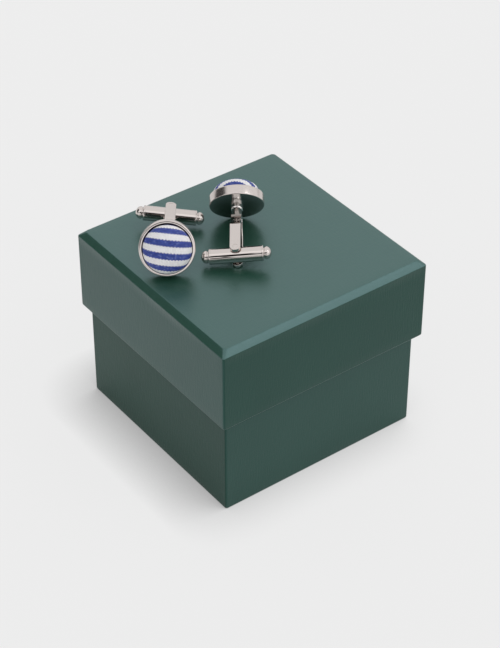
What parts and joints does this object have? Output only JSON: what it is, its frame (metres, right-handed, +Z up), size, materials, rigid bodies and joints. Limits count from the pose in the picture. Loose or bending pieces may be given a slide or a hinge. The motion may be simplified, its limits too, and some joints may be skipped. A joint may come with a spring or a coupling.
{
  "type": "pair of cufflinks on a gift box",
  "caption": "Round cloth-covered cufflinks with forked posts and swivel bars, lying on the lift-off lid of a square gift box.",
  "frame": {"origin": "middle of the underside of the box", "axes": "+Z up, +X towards the box's right-hand face, +Y towards its back left face"},
  "size_m": [0.072, 0.072, 0.0746],
  "materials": {
    "box_paper": "semi-gloss grained paper",
    "polished_metal": "polished",
    "striped_cloth": "woven stripes"
  },
  "bodies": {
    "root": {"box_base": "box_paper", "box_lid": "box_paper", "left_setting": "polished_metal", "left_fabric": "striped_cloth", "left_pin": "polished_metal", "right_setting": "polished_metal", "right_fabric": "striped_cloth", "right_pin": "polished_metal"},
    "left_bar": {"left_bar": "polished_metal"},
    "right_bar": {"right_bar": "polished_metal"}
  },
  "joints": [
    {"name": "left_bar_swivel", "type": "hinge", "parent": "root", "child": "left_bar", "pos_m": [-0.0132, 0.0213, 0.06324], "axis": [0.1772, 0.0524, 0.9828], "range_deg": [-90, 90]},
    {"name": "right_bar_swivel", "type": "hinge", "parent": "root", "child": "right_bar", "pos_m": [-0.0093, -0.0058, 0.06324], "axis": [-0.1756, -0.054, 0.983], "range_deg": [-90, 90]}
  ]
}
